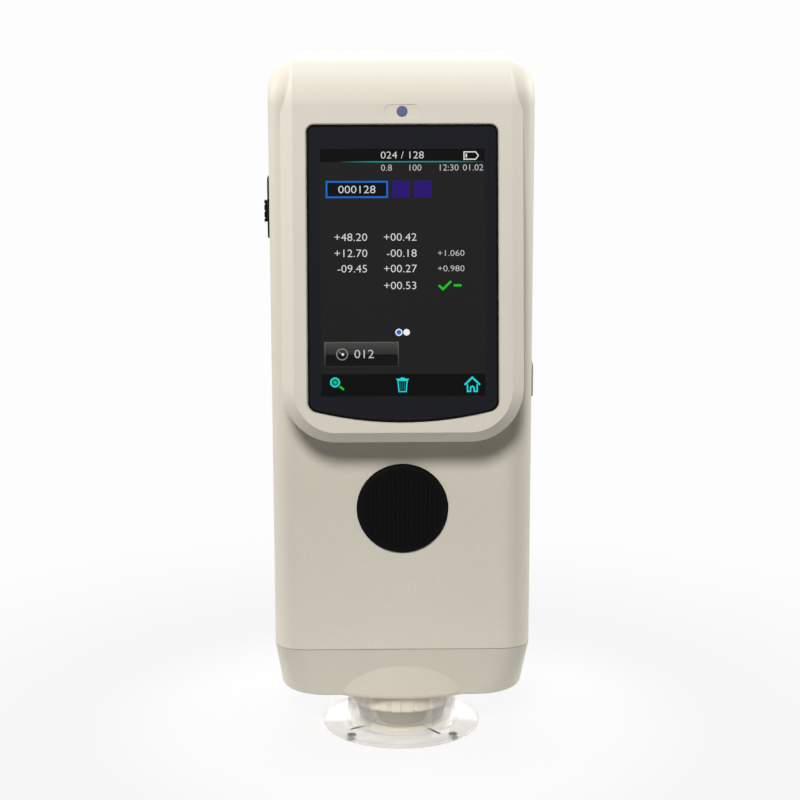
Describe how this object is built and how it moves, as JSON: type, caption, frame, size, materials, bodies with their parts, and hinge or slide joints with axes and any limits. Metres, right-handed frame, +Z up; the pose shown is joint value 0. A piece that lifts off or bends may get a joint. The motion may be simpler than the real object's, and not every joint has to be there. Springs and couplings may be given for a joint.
{
  "type": "portable spectrophotometer",
  "caption": "Upright hand-held spectrophotometer with a leaning colour screen, a round ribbed measuring button and a clear locating plate round its nose.",
  "frame": {"origin": "centre of the measuring face, on the plane that the locating plate rests on", "axes": "+Z up along the case, -Y towards the screen side, +X to the right of someone facing the screen"},
  "size_m": [0.0827, 0.0866, 0.214],
  "materials": {
    "case_plastic": "fine moulded texture, warm beige",
    "grey_rubber": "soft matt, toned to the case",
    "black_glass": "black-backed cover glass with the lit screen shown on it",
    "adhesive": "black foam tape",
    "lcd_metal": "stamped sheet",
    "steel": "zinc-plated",
    "blue_lens": "translucent blue light guide",
    "green_board": "solder mask",
    "black_plastic": "moulded black",
    "white_plastic": "moulded light grey",
    "silicone": "silicone",
    "battery_wrap": "shrink-wrapped cell",
    "contact_brass": "gold-plated spring leaf",
    "flat_cable": "polyimide",
    "sphere_white": "diffuse white reflective lining",
    "lens_glass": "coated lens",
    "mirror_metal": "aluminised concave grating",
    "slit_metal": "blackened foil",
    "grey_plastic": "mid grey moulding",
    "clear_plastic": "clear polished plastic",
    "dark_rubber": "matt pads"
  },
  "bodies": {
    "case": {"front_housing": "case_plastic", "rear_housing": "case_plastic", "base_cover": "case_plastic", "seam_gasket": "grey_rubber", "base_gasket": "grey_rubber", "display_glass": "black_glass", "glass_adhesive": "adhesive", "lcd_module": "lcd_metal", "lcd_bracket": "lcd_metal", "usb_socket": "lcd_metal", "bracket_screws": "steel", "guide_screws": "steel", "chassis_screws": "steel", "board_screws": "steel", "case_screws": "steel", "base_screws": "steel", "port_cover_pin": "steel", "catch_magnets": "steel", "tact_switch": "steel", "indicator_lens": "blue_lens", "indicator_board": "green_board", "key_board": "green_board", "main_board": "green_board", "lamp_board": "green_board", "sensor_board": "green_board", "power_switch_bezel": "black_plastic", "power_switch_body": "black_plastic", "board_components": "black_plastic", "buzzer": "black_plastic", "viewing_tube": "black_plastic", "spectrometer_body": "black_plastic", "spectrometer_cover": "black_plastic", "button_guide": "white_plastic", "nose_mount": "white_plastic", "chassis": "white_plastic", "lock_ring": "white_plastic", "aperture_mask": "white_plastic", "button_return_dome": "silicone", "battery_pack": "battery_wrap", "battery_contacts": "contact_brass", "lcd_cable": "flat_cable", "sphere_lower": "sphere_white", "sphere_upper": "sphere_white", "sphere_baffle": "sphere_white", "collector_lens": "lens_glass", "grating": "mirror_metal", "entrance_slit": "slit_metal", "nose_cone": "grey_plastic"},
    "measure_button": {"measure_button": "black_plastic", "tact_plunger": "black_plastic"},
    "power_switch": {"power_switch_knob": "black_plastic"},
    "port_cover": {"port_cover": "grey_rubber"},
    "battery_door": {"battery_door": "case_plastic", "door_magnets": "steel"},
    "locating_plate": {"locating_plate": "clear_plastic", "plate_pads": "dark_rubber"}
  },
  "joints": [
    {"name": "measure_press", "type": "slide", "parent": "case", "child": "measure_button", "axis": [0, 1, 0], "range_m": [0, 0.0008], "stiffness_N_per_m": 1500, "springref_m": -0.001, "deforming": ["button_return_dome"]},
    {"name": "power_slide", "type": "slide", "parent": "case", "child": "power_switch", "axis": [0, 0, 1], "range_m": [0, 0.0034]},
    {"name": "port_cover_swing", "type": "hinge", "parent": "case", "child": "port_cover", "pos_m": [0.0396, 0.0033, 0.1156], "axis": [0, 0, 1], "range_deg": [0, 90]},
    {"name": "battery_door_swing", "type": "hinge", "parent": "case", "child": "battery_door", "pos_m": [0, 0.0424, 0.1864], "axis": [1, 0, 0], "range_deg": [0, 90]},
    {"name": "plate_twist", "type": "hinge", "parent": "case", "child": "locating_plate", "pos_m": [0, 0, 0], "axis": [0, 0, 1], "range_deg": [0, 30]}
  ]
}
